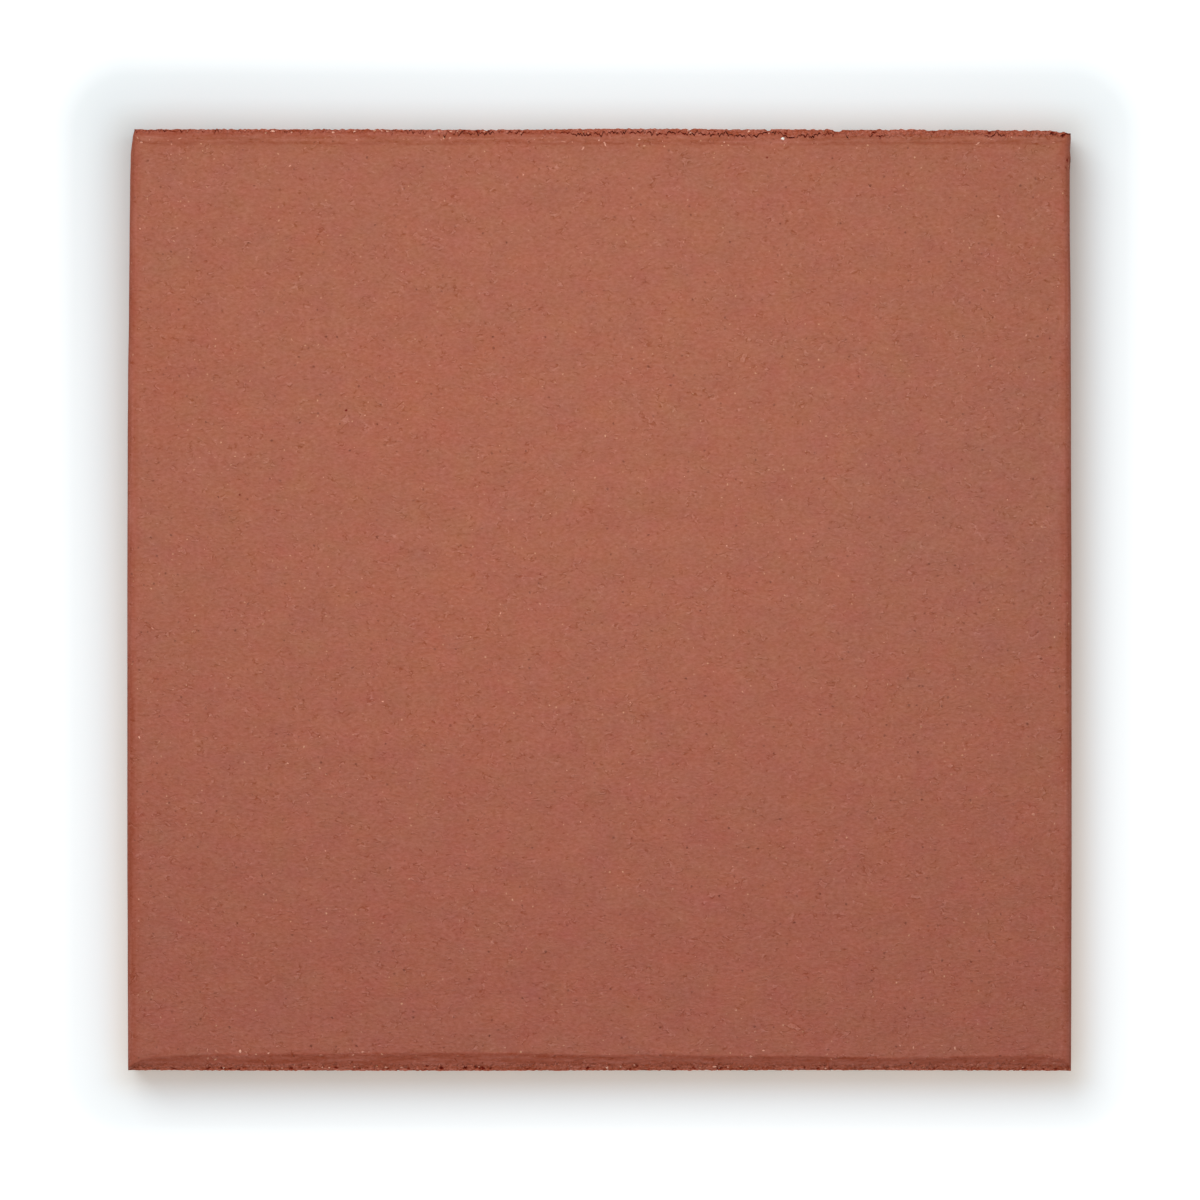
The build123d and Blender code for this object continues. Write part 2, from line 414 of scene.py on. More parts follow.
@dataclass
class CutEnd:
    """One cut end: its arris, its torn lip and the edge of its cut face."""

    side: int
    trim: float
    setback: float
    arris_line: list
    crack_line: list
    open_line: list
    edge_line: list
    notches: list
    pits: list
    ragged: float
    raw_fade: float
    lip_torn: float
    crease_shade: float

    def arris(self, x):
        """How far in from the cut the arris lies, always a little behind the edge."""
        wander = sum(reach * waver(x, size, 11, self.side) for size, reach in ARRIS_WANDER)
        return max(self.setback + between(self.arris_line, x / MM) * MM + wander, self.edge(x) + LEAST_BEVEL)

    def crack(self, x):
        """How far in the crack lies, always between the edge and the arris."""
        coarse, fine = (waver(x, size, self.side, seed) for size, seed in JAGGED_WAVES)
        line = self.setback + between(self.crack_line, x / MM) * MM + JAGGED * (coarse + FINE_SHARE * fine)
        return max(min(line, FARTHEST_SHARE * self.arris(x)), self.edge(x) + LEAST_LIP)

    def opening(self, x):
        """How open the crack is, 0 to 1."""
        flutter = FLUTTER_LEVEL + FLUTTER_SWING * waver(x, FLUTTER_WAVES, 7, self.side)
        return min(max(between(self.open_line, x / MM) * flutter, 0), 1)

    def edge(self, x):
        """How far inside the plain square the upper edge of the cut face lies."""
        inset = self.trim + between(self.edge_line, x / MM) * MM
        for place, depth, half_width in self.notches:
            away = abs(x / MM - place) / half_width
            if away < 1:
                inset += depth * MM * (1 - away * away)
        return inset + self.ragged * min(max(0.5 + waver(x, RAGGED_WAVES, 3, self.side), 0), 1)

    def cut(self, x, z):
        """How far inside the plain square the cut face lies, from its lip down."""
        edge = self.edge(x)
        below = step(0, LIP_HEIGHT, self.bevel(x, edge) - z)
        return edge + (max(CUT_FACE_INSET, CUT_FACE_SHARE * edge) - edge) * below

    def bevel(self, x, inset):
        """The height of the face and the bevel, with the arris rounded."""
        along = 1 - inset / self.arris(x)
        slope = THICKNESS - BEVEL_DROP * (along**BEVEL_BOW if along > 0 else along)
        return soft_lower(section_height(x), slope, ARRIS_SOFTNESS)

    def seat(self, x, inset):
        """Moves a row of the bevel so that rows run along the crack and along the arris."""
        arris = self.arris(x)
        crack = self.crack(x)
        edge = self.edge(x)
        width = CRACK_WIDTH * (1 + WIDTH_SWING * waver(x, WIDTH_WAVES, 1, 1))
        width = min(width, WIDEST_SHARE * (crack - edge))
        soft = min(ARRIS_WIDTH, 0.2 * arris)
        rows = [0] + CRACK_ROWS + ARRIS_ROWS + [END_ZONE]
        seats = [edge, crack - width, crack, crack + width, arris - soft, arris, arris + soft, END_ZONE]
        for row, next_row, place, next_place in zip(rows, rows[1:], seats, seats[1:]):
            if inset <= next_row + TINY:
                return place + (next_place - place) * (inset - row) / (next_row - row)
        return inset

    def rawness(self, inset):
        """How raw the clay of the bevel looks: fully at the cut, and less towards the arris."""
        return 1 - self.raw_fade * step(*RAW_FADES, inset)

    def pit_depth(self, x, inset):
        """How deep the pits are at a place."""
        deepest = 0
        ragged = 1 + PIT_RAGGED * waver(x, PIT_WAVES[0], inset / PIT_WAVES[1], self.side)
        for place, pit_inset, radius, depth in self.pits:
            away = PIT_SQUASH * ((inset - self.trim) / MM - PIT_SEAT * pit_inset)
            reach = ragged * math.hypot(x / MM - place, away) / radius
            if reach < 1:
                deepest = max(deepest, depth * (1 - reach * reach))
        return deepest * MM


def strewn_pits(seed, count, widest):
    """More pits along a lip, small and strewn by chance."""
    chance = random.Random(seed)
    ranges = ((-STREWN_REACH, STREWN_REACH), STREWN_INSETS, (STREWN_LEAST, widest), STREWN_DEPTHS)
    return [tuple(chance.uniform(*span) for span in ranges) for _ in range(count)]


NEAR_END = CutEnd(
    side=-1, trim=0.17 * MM, setback=0.46 * MM, arris_line=NEAR_ARRIS, crack_line=NEAR_CRACK,
    open_line=[(0, 0)], edge_line=NEAR_EDGE, notches=[], pits=NEAR_PITS + strewn_pits(3, 170, 0.3),
    ragged=0.05 * MM, raw_fade=0.0, lip_torn=0.8, crease_shade=0.0,
)
FAR_END = CutEnd(
    side=1, trim=0.01 * MM, setback=0.18 * MM, arris_line=FAR_ARRIS, crack_line=FAR_CRACK,
    open_line=FAR_CRACK_OPEN, edge_line=FAR_EDGE, notches=FAR_NOTCHES, pits=FAR_PITS + strewn_pits(5, 50, 0.26),
    ragged=0.18 * MM, raw_fade=0.7, lip_torn=1.0, crease_shade=1.0,
)


def shape_bevel(vertex, end, inset, marks):
    """Lowers one point of the face to the bevel, and tears the lip at its foot."""
    place = vertex.co
    index = vertex.index
    x = place.x
    arris = end.arris(x)
    opening = end.opening(x)
    seat = end.seat(x, inset)
    lift = 0
    if abs(inset - CRACK_ROWS[1]) < TINY:
        lift = -CRACK_DEPTH * opening
        # The crack's mark paints shade into the crack, the darker the wider it opens
        marks["crack"][index] = opening
    elif inset < CRACK_ROWS[1]:
        lift = LIP_RISE * opening * min(inset / LIP_ROWS[1], 1)
        if abs(inset - CRACK_ROWS[0]) < TINY:
            seat += LIP_OVERHANG * CRACK_WIDTH * opening
    pit = end.pit_depth(x, seat)
    below = step(arris + ARRIS_WIDTH, arris - ARRIS_WIDTH, seat)
    # A pit takes painted shade in the crack's mark, the more the deeper it is
    marks["crack"][index] = max(marks["crack"][index], PIT_SHADE * min(pit / FULL_SHADE_DEPTH, 1))
    marks["torn"][index] = end.lip_torn if inset < CRACK_ROWS[2] else 0
    marks["sawn"][index] = BEVEL_SAWN * below
    marks["raw"][index] = below * end.rawness(seat)
    marks["drawn"][index] = below
    # Partly redder clay and partly painted shade along the far arris
    marks["crease_shade"][index] = end.crease_shade * math.exp(-(((seat - arris) / CREASE_WIDTH) ** 2))
    place.z = min(place.z, end.bevel(x, seat)) + lift - pit
    place.y = end.side * (CUT - seat)


def shape_cut_face(vertex, end, marks):
    """Squashes one point of a cut face down under its lip, and tears the lip's edge."""
    place = vertex.co
    x = place.x
    full = section_height(x)
    edge = end.edge(x)
    top = end.bevel(x, edge)
    if place.z > SQUASH_FROM and full > SQUASH_FROM:
        place.z = SQUASH_FROM + (place.z - SQUASH_FROM) * (top - SQUASH_FROM) / (full - SQUASH_FROM)
    below = step(0, LIP_HEIGHT, top - place.z)
    pit = end.pit_depth(x, edge + max(top - place.z, 0)) * (1 - below)
    place.y = end.side * (CUT - end.cut(x, place.z) - pit)
    if abs(x) > SIDE - TINY:
        place.x -= math.copysign(CORNER_WEAR, x)
        place.y -= end.side * CORNER_WEAR
    marks["raw"][vertex.index] = 1
    marks["sawn"][vertex.index] = below
    marks["torn"][vertex.index] = end.lip_torn * (1 - below)


# The crack and crease marks carry painted shade: in the cracks and pits, and along the far arris
MARKS = ("raw", "sawn", "torn", "crack", "crease_shade", "drawn", "skin", "streak")


def shape_cut_ends(tile):
    """Shapes both cut ends point by point, and keeps where the clay is cut, torn or cracked, with marks for
    painted shade in the cracks, the pits and the far arris's crease.
    """
    count = len(tile.data.vertices)
    marks = {name: [0.0] * count for name in MARKS}
    for vertex in tile.data.vertices:
        place = vertex.co
        end = NEAR_END if place.y < 0 else FAR_END
        inset = CUT - abs(place.y)
        on_top = place.z > LEVELS[-1] + TINY
        if inset < TINY:
            shape_cut_face(vertex, end, marks)
        elif inset < END_ZONE + TINY and on_top:
            shape_bevel(vertex, end, inset, marks)
        elif inset < END_ZONE - TINY and place.z > LEVELS[-1] - TINY:
            place.y = end.side * (CUT - end.seat(place.x, inset))
        elif inset < CORNER_ROW + TINY:
            place.y = end.side * (CUT - end.cut(place.x, place.z) - inset)
        index = vertex.index
        formed = step(SIDE - FORMED_FROM, SIDE - FORMED_TO, abs(place.x)) if on_top else 1
        if inset > TINY:
            marks["streak"][index] = formed * (1 - marks["sawn"][index])
            marks["raw"][index] = max(marks["raw"][index], (LEFT_RAW if place.x < 0 else RIGHT_RAW) * formed)
            marks["skin"][index] = 1 - max(marks["raw"][index], formed)
    for name, values in marks.items():
        tile.data.attributes.new(name, "FLOAT", "POINT").data.foreach_set("value", values)
    for name in ("skin", "sawn", "torn"):
        group = tile.vertex_groups.new(name=name)
        for index, value in enumerate(marks[name]):
            if value > 0:
                group.add([index], value, "REPLACE")


def sink_face_pits(tile):
    """Sinks a small round pit in the face at each place where a grain has fallen out."""
    points = tile.data.vertices
    field = [v for v in points if v.co.z > LEVELS[-1] + TINY and abs(v.co.y) < CUT - END_ZONE]
    mark = tile.data.attributes["crack"].data
    pits = {}
    for x, y, depth in FACE_PITS:
        spot = Vector((x * MM, y * MM))
        pits[min(field, key=lambda v: (v.co.xy - spot).length).index] = (spot, depth)
    rims = {index: set() for index in pits}
    for face in tile.data.polygons:
        for index in pits.keys() & set(face.vertices):
            rims[index].update(set(face.vertices) - pits.keys())
    for index, (spot, depth) in pits.items():
        centre = points[index].co.copy()
        for vertex in [points[corner] for corner in rims[index]]:
            aside = vertex.co.xy - centre.xy
            if aside.length > FACE_PIT_RADIUS and abs(vertex.co.z - centre.z) < FACE_PIT_LEVEL:
                vertex.co.xy = spot + FACE_PIT_RADIUS * aside.normalized()
        points[index].co = (spot.x, spot.y, centre.z - FACE_PIT_DEPTH * depth)
        # The pit's middle takes painted shade in the crack's mark
        mark[index].value = FACE_PIT_SHADE * depth


def bow_sides(tile):
    """Draws the long sides in, as firing and the knife have left them."""
    for vertex in tile.data.vertices:
        place = vertex.co
        side = LEFT_SIDE if place.x < 0 else RIGHT_SIDE
        inset = between(side, place.y / MM) * MM
        place.x -= math.copysign(inset * (place.x / SIDE) ** SIDE_PULL, place.x)


def roughen(tile, group, waves):
    """Presses a relief of soft waves into one group of the clay's points."""
    for number, (size, depth) in enumerate(waves):
        bpy.ops.object.empty_add(location=(0.011 * (number + 1), 0.007, 0.003))
        grid = bpy.context.active_object
        grid.scale = size
        bpy.context.view_layer.update()
        texture = bpy.data.textures.new(group, "CLOUDS")
        texture.noise_scale = 1.0
        texture.noise_depth = 1
        relief = tile.modifiers.new(group, "DISPLACE")
        relief.texture = texture
        relief.texture_coords = "OBJECT"
        relief.texture_coords_object = grid
        relief.vertex_group = group
        relief.strength = depth
        relief.mid_level = RELIEF_MIDDLE
        bpy.context.view_layer.objects.active = tile
        bpy.ops.object.modifier_apply(modifier=relief.name)
        bpy.data.objects.remove(grid)


def keep_in_square(tile):
    """Presses back whatever stands out of the tile's own size."""
    for vertex in tile.data.vertices:
        for axis in range(3):
            vertex.co[axis] = min(max(vertex.co[axis], low[axis]), high[axis])


# Colours of the fired clay
SKIN_COLOUR = (0.409, 0.135, 0.082, 1)
NEAR_SKIN = (0.407, 0.124, 0.08, 1)
FAR_SKIN = (0.405, 0.129, 0.073, 1)
RED_SKIN = (0.423, 0.128, 0.075, 1)
GREY_SKIN = (0.383, 0.135, 0.091, 1)
RAW_COLOUR = (0.392, 0.098, 0.057, 1)
TORN_COLOUR = (0.477, 0.121, 0.068, 1)
# Painted shade: the dark core of a crack, and the dark red along its sides
CRACK_SHADE_COLOUR = (0.172, 0.004, 0.000, 1)
CRACK_SIDE_SHADE = (0.343, 0.05, 0.014, 1)
# Partly redder clay and partly painted shade, in the far arris's crease
CREASE_SHADE_COLOUR = (0.35, 0.096, 0.052, 1)
# Painted shade in the clay's small pits
PIT_SHADE_COLOUR = (0.15, 0.036, 0.02, 1)
PALE_SPECK = (0.64, 0.32, 0.2, 1)

# Where along the column the skin turns to the colour of each end
NEAR_TURN = (30 * MM, -CUT)
FAR_TURN = (CUT - 5 * MM, CUT - 2 * MM)

# Tint of the skin: size of its patches, and how far each colour and all together change, in red, green and blue
TINT_SIZE = 4.6 * MM
TINT_EACH = (0.17, 0.26, 0.2)
TINT_ALL = (0.03, 0.08, 0.22)

# Soft patches of the face: place across and along and reach, in millimetres, and strength
RED_PATCHES = [(-28.0, 33.0, 24.0, 0.5), (-22.0, -8.0, 22.0, 0.5), (-70.0, 38.0, 18.0, 0.7)]
GREY_PATCHES = [(62.0, 15.0, 42.0, 0.6)]

# Wrinkles of the skin: size of their waves, how these drift, where they show, and which of the waves' levels
# are groove and rim. The grooves are painted darker as shade and the rims lighter as a highlight
CRINKLE_SIZE = 0.85 * MM
CRINKLE_DRIFT = (2 * MM, 1 * MM)
CRINKLE_SPREAD = 1.3 * MM
CRINKLE_SHOWS = (0.51, 0.65)
CRINKLE_LEVELS = (0.5, 0.57)
CRINKLE_WIDTH = 0.045

# Lines drawn in the clay by the die, down the cut ends and along the bevels: the mark that they follow, the
# size and detail of their waves, and how these are stretched
DRAWN_LINES = {
    "streak": (0.8 * MM, 3.0, (1, 0.03, 1)),
    "sawn": (1 * MM, 3.0, (1, 1, 0.12)),
    "drawn": (0.7 * MM, 2.0, (0.1, 1, 1)),
}

# Specks and pits strewn through the clay: spacing, radius and share of the places, and how ragged they are
PALE_SPECKS = (1.1 * MM, 0.19 * MM, 0.5)
# The pits are painted dark, as the shade inside them
SHADED_PITS = (1.5 * MM, 0.22 * MM, 0.8)
SPECK_RAGGED = (0.3 * MM, 0.35 * MM)
SPECK_CLUSTERS = 9 * MM
SPECKLED_END = (CUT - 6 * MM, CUT - 3 * MM)
SPECKS_AT_END = 0.7
PIT_SHADE_STRENGTH = 0.55

# How strongly the torn clay takes its own colour and a crack's surround takes painted shade, and where along a
# crack's mark the painted shade of the surround and of the crack itself begins and is full
TORN_STRENGTH = 0.8
CRACK_SIDE_SHADE_STRENGTH = 0.85
SURROUND_RAMP = (0.0, 0.4)
CRACK_RAMP = (0.1, 0.8)

# Sizes of the waves in the clay, and the drift of the worn skin
RAW_WAVES = 1.6 * MM
CREASE_WAVES = 5 * MM
CREASE_SHOWS = (0.36, 0.56)
WORN_WAVES = 0.42 * MM
WORN_DRIFT = (7 * MM, 2 * MM)
BROAD_WAVES = 13 * MM
TORN_WAVES = 0.4 * MM
BODY_WAVES = 0.26 * MM
ROUGH_WAVES = 1.2 * MM

# The body's mottling: size of its waves, and how strong it is on the skin and how much more on torn clay
MOTTLE_SIZE = 0.3 * MM
MOTTLE_SKIN = 0.24
MOTTLE_TORN = 0.9
PALLOR = 0.4

# How much each layer of the clay makes a place lighter, and how far it raises it in millimetres. The wrinkles'
# grooves take painted shade and their rims a painted highlight
LIGHTER = {"wear": 0.42, "shaded_grooves": -0.2, "rims": 0.18, "streak": 0.5, "sawn": 0.7, "drawn": 0.6, "broad": 0.5}
HIGHER = {
    "worn": 0.18, "streak": 0.16, "sawn": 0.4, "torn": 0.45, "body": 0.05, "pits": -0.1, "shaded_grooves": -0.03,
    "rims": 0.02,
}
ROUGHNESS = (0.7, 0.88)
GLOSS = 0.2


class Nodes:
    """Places the nodes of a material or of the sky, and joins them up."""

    def __init__(self, owner, shader="Principled BSDF"):
        owner.use_nodes = True
        self.tree = owner.node_tree
        self.shader = self.tree.nodes[shader]
        self.place = self.add("ShaderNodeTexCoord").outputs["Object"]

    def put(self, socket, value):
        """Gives a socket a value or another node's output."""
        if isinstance(value, bpy.types.NodeSocket):
            self.tree.links.new(value, socket)
        else:
            socket.default_value = value

    def add(self, kind, settings=None, **sockets):
        """Adds a node. A socket is given a value or another node's output."""
        node = self.tree.nodes.new(kind)
        for name, value in (settings or {}).items():
            setattr(node, name, value)
        for name, value in sockets.items():
            self.put(node.inputs[name.replace("_", " ")], value)
        return node

    def vector(self, kind, *values):
        """A vector worked out from others, by the name of Blender's operation."""
        node = self.add("ShaderNodeVectorMath", {"operation": kind})
        for socket, value in zip(node.inputs, values):
            self.put(socket, value)
        return node.outputs["Vector"]

    def scaled(self, vector, amount):
        """A vector made longer or shorter."""
        node = self.add("ShaderNodeVectorMath", {"operation": "SCALE"}, Vector=vector, Scale=amount)
        return node.outputs["Vector"]

    def stretched(self, scale, place=None):
        """A place, squeezed along each axis."""
        return self.add("ShaderNodeMapping", Vector=place or self.place, Scale=scale).outputs["Vector"]

    def moved(self, size, reach):
        """Where a point lies, moved about by soft noise with waves of one size."""
        drift = self.add("ShaderNodeTexNoise", Vector=self.place, Scale=1 / size, Detail=1.0)
        return self.vector("ADD", self.place, self.scaled(drift.outputs["Color"], reach))

    def noise(self, size, detail=2.0, place=None):
        """Soft noise with waves of one size in metres."""
        place = place or self.place
        return self.add("ShaderNodeTexNoise", Vector=place, Scale=1 / size, Detail=detail, Roughness=0.6)

    def waves(self, size, detail=2.0, place=None):
        """Soft waves of one size in metres, from 0 to 1."""
        return self.noise(size, detail, place).outputs["Fac"]

    def swing(self, size, detail=2.0, place=None):
        """Soft waves of one size in metres, from -0.5 to 0.5."""
        return self.sum("SUBTRACT", self.waves(size, detail, place), 0.5)

    def ramp(self, value, start, stop):
        """0 at the start, 1 at the stop, smooth between them."""
        smooth = {"interpolation_type": "SMOOTHSTEP"}
        node = self.add("ShaderNodeMapRange", smooth, Value=value, From_Min=start, From_Max=stop)
        return node.outputs["Result"]

    def band(self, value, centre, half_width):
        """1 where a value is at the centre, and 0 from half a width away."""
        return self.ramp(self.sum("ABSOLUTE", self.sum("SUBTRACT", value, centre), 0), half_width, 0.0)

    def sum(self, kind, first, second):
        """A sum of two values, by the name of Blender's operation."""
        node = self.add("ShaderNodeMath", {"operation": kind})
        for socket, value in zip(node.inputs, (first, second)):
            self.put(socket, value)
        return node.outputs["Value"]

    def times(self, first, *others):
        """The product of several values."""
        for other in others:
            first = self.sum("MULTIPLY", first, other)
        return first

    def mix(self, amount, first, second):
        """A mix of two colours."""
        node = self.add("ShaderNodeMix", {"data_type": "RGBA"})
        for socket, value in zip((node.inputs[0], node.inputs[6], node.inputs[7]), (amount, first, second)):
            self.put(socket, value)
        return node.outputs[2]

    def mark(self, name):
        """One of the marks kept on the piece's points."""
        return self.add("ShaderNodeAttribute", {"attribute_name": name}).outputs["Fac"]

    def layered(self, base, layers, amounts):
        """A base value with layers added to it, each by its amount."""
        for name, amount in amounts.items():
            base = self.sum("ADD", base, self.times(layers[name], amount))
        return base

    def specks(self, spacing, radius, share, place=None):
        """Specks strewn through the clay: how much of a speck a place is, 0 to 1."""
        node = self.add("ShaderNodeTexVoronoi", Vector=place or self.place, Scale=1 / spacing)
        near = self.ramp(node.outputs["Distance"], radius / spacing, 0.4 * radius / spacing)
        parts = self.add("ShaderNodeSeparateColor", Color=node.outputs["Color"])
        chosen = self.sum("GREATER_THAN", parts.outputs["Red"], 1 - share)
        return self.times(near, chosen, parts.outputs["Green"])

    def patches(self, places):
        """Soft round patches at places on the face: how much of one a place is, 0 to 1."""
        total = 0.0
        for x, y, reach, strength in places:
            away = self.add("ShaderNodeVectorMath", {"operation": "DISTANCE"}, Vector=self.place)
            away.inputs[1].default_value = (x * MM, y * MM, THICKNESS)
            patch = self.times(self.ramp(away.outputs["Value"], reach * MM, 0.0), strength)
            total = self.sum("MAXIMUM", total, patch)
        return total


def skin_colour(nodes):
    """The skin of the face: redder towards the near end and in patches, and never quite the same in tint."""
    along = nodes.add("ShaderNodeSeparateXYZ", Vector=nodes.place).outputs["Y"]
    colour = nodes.mix(nodes.ramp(along, *NEAR_TURN), SKIN_COLOUR, NEAR_SKIN)
    colour = nodes.mix(nodes.ramp(along, *FAR_TURN), colour, FAR_SKIN)
    colour = nodes.mix(nodes.patches(RED_PATCHES), colour, RED_SKIN)
    colour = nodes.mix(nodes.patches(GREY_PATCHES), colour, GREY_SKIN)
    drift = nodes.noise(TINT_SIZE, 2.0, nodes.stretched((0.8, 1, 1))).outputs["Color"]
    least = [1 - (each + both) / 2 for each, both in zip(TINT_EACH, TINT_ALL)]
    tint = nodes.vector("MULTIPLY_ADD", drift, TINT_EACH, least)
    paler = nodes.scaled(TINT_ALL, nodes.waves(TINT_SIZE, 2.0, nodes.moved(TINT_SIZE, TINT_SIZE)))
    return nodes.vector("MULTIPLY", colour, nodes.vector("ADD", tint, paler))


def crinkles(nodes):
    """Short curled wrinkles that come and go: how deep a place lies in one, and how far up its rim."""
    field = nodes.waves(CRINKLE_SIZE, 1.0, nodes.stretched((0.6, 1, 1), nodes.moved(*CRINKLE_DRIFT)))
    where = nodes.ramp(nodes.waves(CRINKLE_SPREAD), *CRINKLE_SHOWS)
    return [nodes.times(nodes.band(field, level, CRINKLE_WIDTH), where) for level in CRINKLE_LEVELS]


def drawn_lines(nodes):
    """Lines that the die drew along the sides, and the knife down the cut ends and along the bevels."""
    lines = {}
    for mark, (size, detail, stretch) in DRAWN_LINES.items():
        lines[mark] = nodes.times(nodes.swing(size, detail, nodes.stretched(stretch)), nodes.mark(mark))
    return lines


def pale_specks(nodes, ragged):
    """Pale specks of the clay, in clusters and closer together towards both ends."""
    along = nodes.add("ShaderNodeSeparateXYZ", Vector=nodes.place).outputs["Y"]
    ends = nodes.ramp(nodes.sum("ABSOLUTE", along, 0), *SPECKLED_END)
    clusters = nodes.ramp(nodes.waves(SPECK_CLUSTERS, 1.0), 0.38, 0.6)
    clusters = nodes.sum("ADD", clusters, nodes.times(ends, SPECKS_AT_END))
    return nodes.times(nodes.specks(*PALE_SPECKS, ragged), clusters)


def clay_colour(nodes, pits):
    """The skin, the raw clay, the torn lips and the crease of the far arris, partly redder clay and partly
    painted shade, with specks, and pits painted dark as shade.
    """
    raw = nodes.mark("raw")
    raw = nodes.sum("ADD", raw, nodes.times(nodes.swing(RAW_WAVES), raw))
    colour = nodes.mix(raw, skin_colour(nodes), RAW_COLOUR)
    colour = nodes.mix(nodes.times(nodes.mark("torn"), TORN_STRENGTH), colour, TORN_COLOUR)
    # The far arris's crease: partly redder clay, partly painted shade
    broken = nodes.ramp(nodes.waves(CREASE_WAVES, 2.0, nodes.stretched((0.5, 1, 1))), *CREASE_SHOWS)
    colour = nodes.mix(nodes.times(nodes.mark("crease_shade"), broken), colour, CREASE_SHADE_COLOUR)
    colour = nodes.mix(pale_specks(nodes, nodes.moved(*SPECK_RAGGED)), colour, PALE_SPECK)
    # The pits take a painted shade colour
    return nodes.mix(nodes.times(pits, PIT_SHADE_STRENGTH), colour, PIT_SHADE_COLOUR)


def clay():
    """Fired red clay: a close skin with fine wrinkles, and rawer, redder clay where it was cut."""
    material = bpy.data.materials.new("fired clay")
    nodes = Nodes(material)
    shader = nodes.shader
    crack, torn, streak = nodes.mark("crack"), nodes.mark("torn"), nodes.mark("streak")
    pits = nodes.specks(*SHADED_PITS, nodes.moved(*SPECK_RAGGED))
    worn = nodes.waves(WORN_WAVES, 3.0, nodes.stretched((0.55, 1, 1), nodes.moved(*WORN_DRIFT)))
    # The wrinkles' grooves take painted shade and their rims a painted highlight
    shaded_grooves, rims = crinkles(nodes)
    layers = {
        "wear": nodes.sum("SUBTRACT", worn, 0.5),
        "worn": nodes.times(worn, nodes.sum("SUBTRACT", 1.0, streak)),
        "shaded_grooves": shaded_grooves,
        "rims": rims,
        "pits": pits,
        "broad": nodes.times(nodes.swing(BROAD_WAVES), streak),
        "torn": nodes.times(nodes.waves(TORN_WAVES, 3.0), torn),
        "body": nodes.waves(BODY_WAVES),
        **drawn_lines(nodes),
    }

    # Colour, made lighter and darker by the mottling and the layers, with painted shade in the wrinkles' grooves
    # and a painted highlight on their rims, and last of all painted shade in the cracks and pits
    strength = nodes.sum("ADD", MOTTLE_SKIN, nodes.times(torn, MOTTLE_TORN))
    mottle = nodes.times(nodes.swing(MOTTLE_SIZE, 3.0, nodes.stretched((0.7, 1, 1))), strength)
    value = nodes.layered(nodes.sum("ADD", 1.0, mottle), layers, LIGHTER)
    pallor = nodes.sum("SUBTRACT", 1 + PALLOR, nodes.times(value, PALLOR))
    colour = clay_colour(nodes, pits)
    colour = nodes.add("ShaderNodeHueSaturation", Color=colour, Value=value, Saturation=pallor).outputs["Color"]
    # Painted shade along the sides of the cracks, then in the cracks and pits themselves
    shade_beside_crack = nodes.times(nodes.ramp(crack, *SURROUND_RAMP), nodes.mark("raw"), CRACK_SIDE_SHADE_STRENGTH)
    colour = nodes.mix(shade_beside_crack, colour, CRACK_SIDE_SHADE)
    nodes.put(shader.inputs["Base Color"], nodes.mix(nodes.ramp(crack, *CRACK_RAMP), colour, CRACK_SHADE_COLOUR))

    bump = nodes.add("ShaderNodeBump", Height=nodes.layered(0.0, layers, HIGHER), Distance=MM, Strength=1.0)
    nodes.put(shader.inputs["Normal"], bump.outputs["Normal"])
    least, most = ROUGHNESS
    roughness = nodes.add("ShaderNodeMapRange", Value=nodes.waves(ROUGH_WAVES), To_Min=least, To_Max=most)
    nodes.put(shader.inputs["Roughness"], roughness.outputs["Result"])
    shader.inputs["Specular IOR Level"].default_value = GLOSS
    return material


# Pale grains that stand in the face and the lips: diameter, and places across and along, in millimetres
GRAINS = {
    0.8: [
        (29.1, 73.2),
    ],
    0.54: [
        (-57, -71.6),
    ],
    0.47: [
        (63.3, 60.9), (-73, -21.8), (-52, 74.5), (-59.7, -74.4), (1.2, -74.4),
    ],
    0.42: [
        (-34.4, -16.1), (-37.6, -71.7), (26, -71.5), (-0.1, 72.9), (-72.3, -71.7), (-34.6, 74.5),
        (14.1, 74.5),
    ],
    0.38: [
        (-73.1, -50.9), (-73.1, -47.5), (-12.1, 67.5), (20.2, 8.6), (-15.7, -2.1), (-53.3, -46.7),
        (19.8, 72.6), (28.9, 15.9), (24, -72.4), (60.1, 37.1), (42.3, 32), (21.3, -5.6), (-42.2, 74.3),
        (-50.4, -74.3), (18.2, -74.1), (35.9, -74.4), (67.2, -74.2),
    ],
    0.32: [
        (-35.9, -51.2), (-6.7, -18.2), (-45.8, 13.6), (-44.4, -21.7), (-49.5, -25.9), (47.7, -70.7),
        (22.1, 16), (37.9, 3.8), (-64.6, 27.9), (52.6, 43.3), (17.1, -71.3), (6.2, 73.1), (51.8, 34.1),
        (67.7, 42), (64.7, 15.9), (-57.4, 29.7), (-56.3, 74.6), (-12.5, 74.1), (-3.5, 74.7), (23.6, 74.3),
        (3.3, -74), (19, -74.3), (74, -74.5),
    ],
    0.28: [
        (47.2, 15.7), (66.6, 71.7), (-2.9, 55.1), (-58.6, -12.6), (-36.7, 31.4), (40.9, -69.2), (27.8, -44.3),
        (-73.3, -14.1), (26.8, 7.6), (62.6, -55.8), (29.3, -27.3), (19.3, 4.2), (-36.6, 50.6), (33.5, 7.6),
        (62.5, 47.4), (-36.6, -71.7), (62.5, 54.6), (72, -51.9), (63.2, 53.7), (-67, 59), (59, -21.4),
        (-25.7, -47.3), (8.6, 58.5), (-65.8, 62.5), (29.2, 51), (-44.9, -12.6), (-43.5, -39.8), (-68, 70.7),
        (-65.4, 74.5), (-48.4, -73.8), (-46.2, -73.7), (49.6, -73.3),
    ],
}

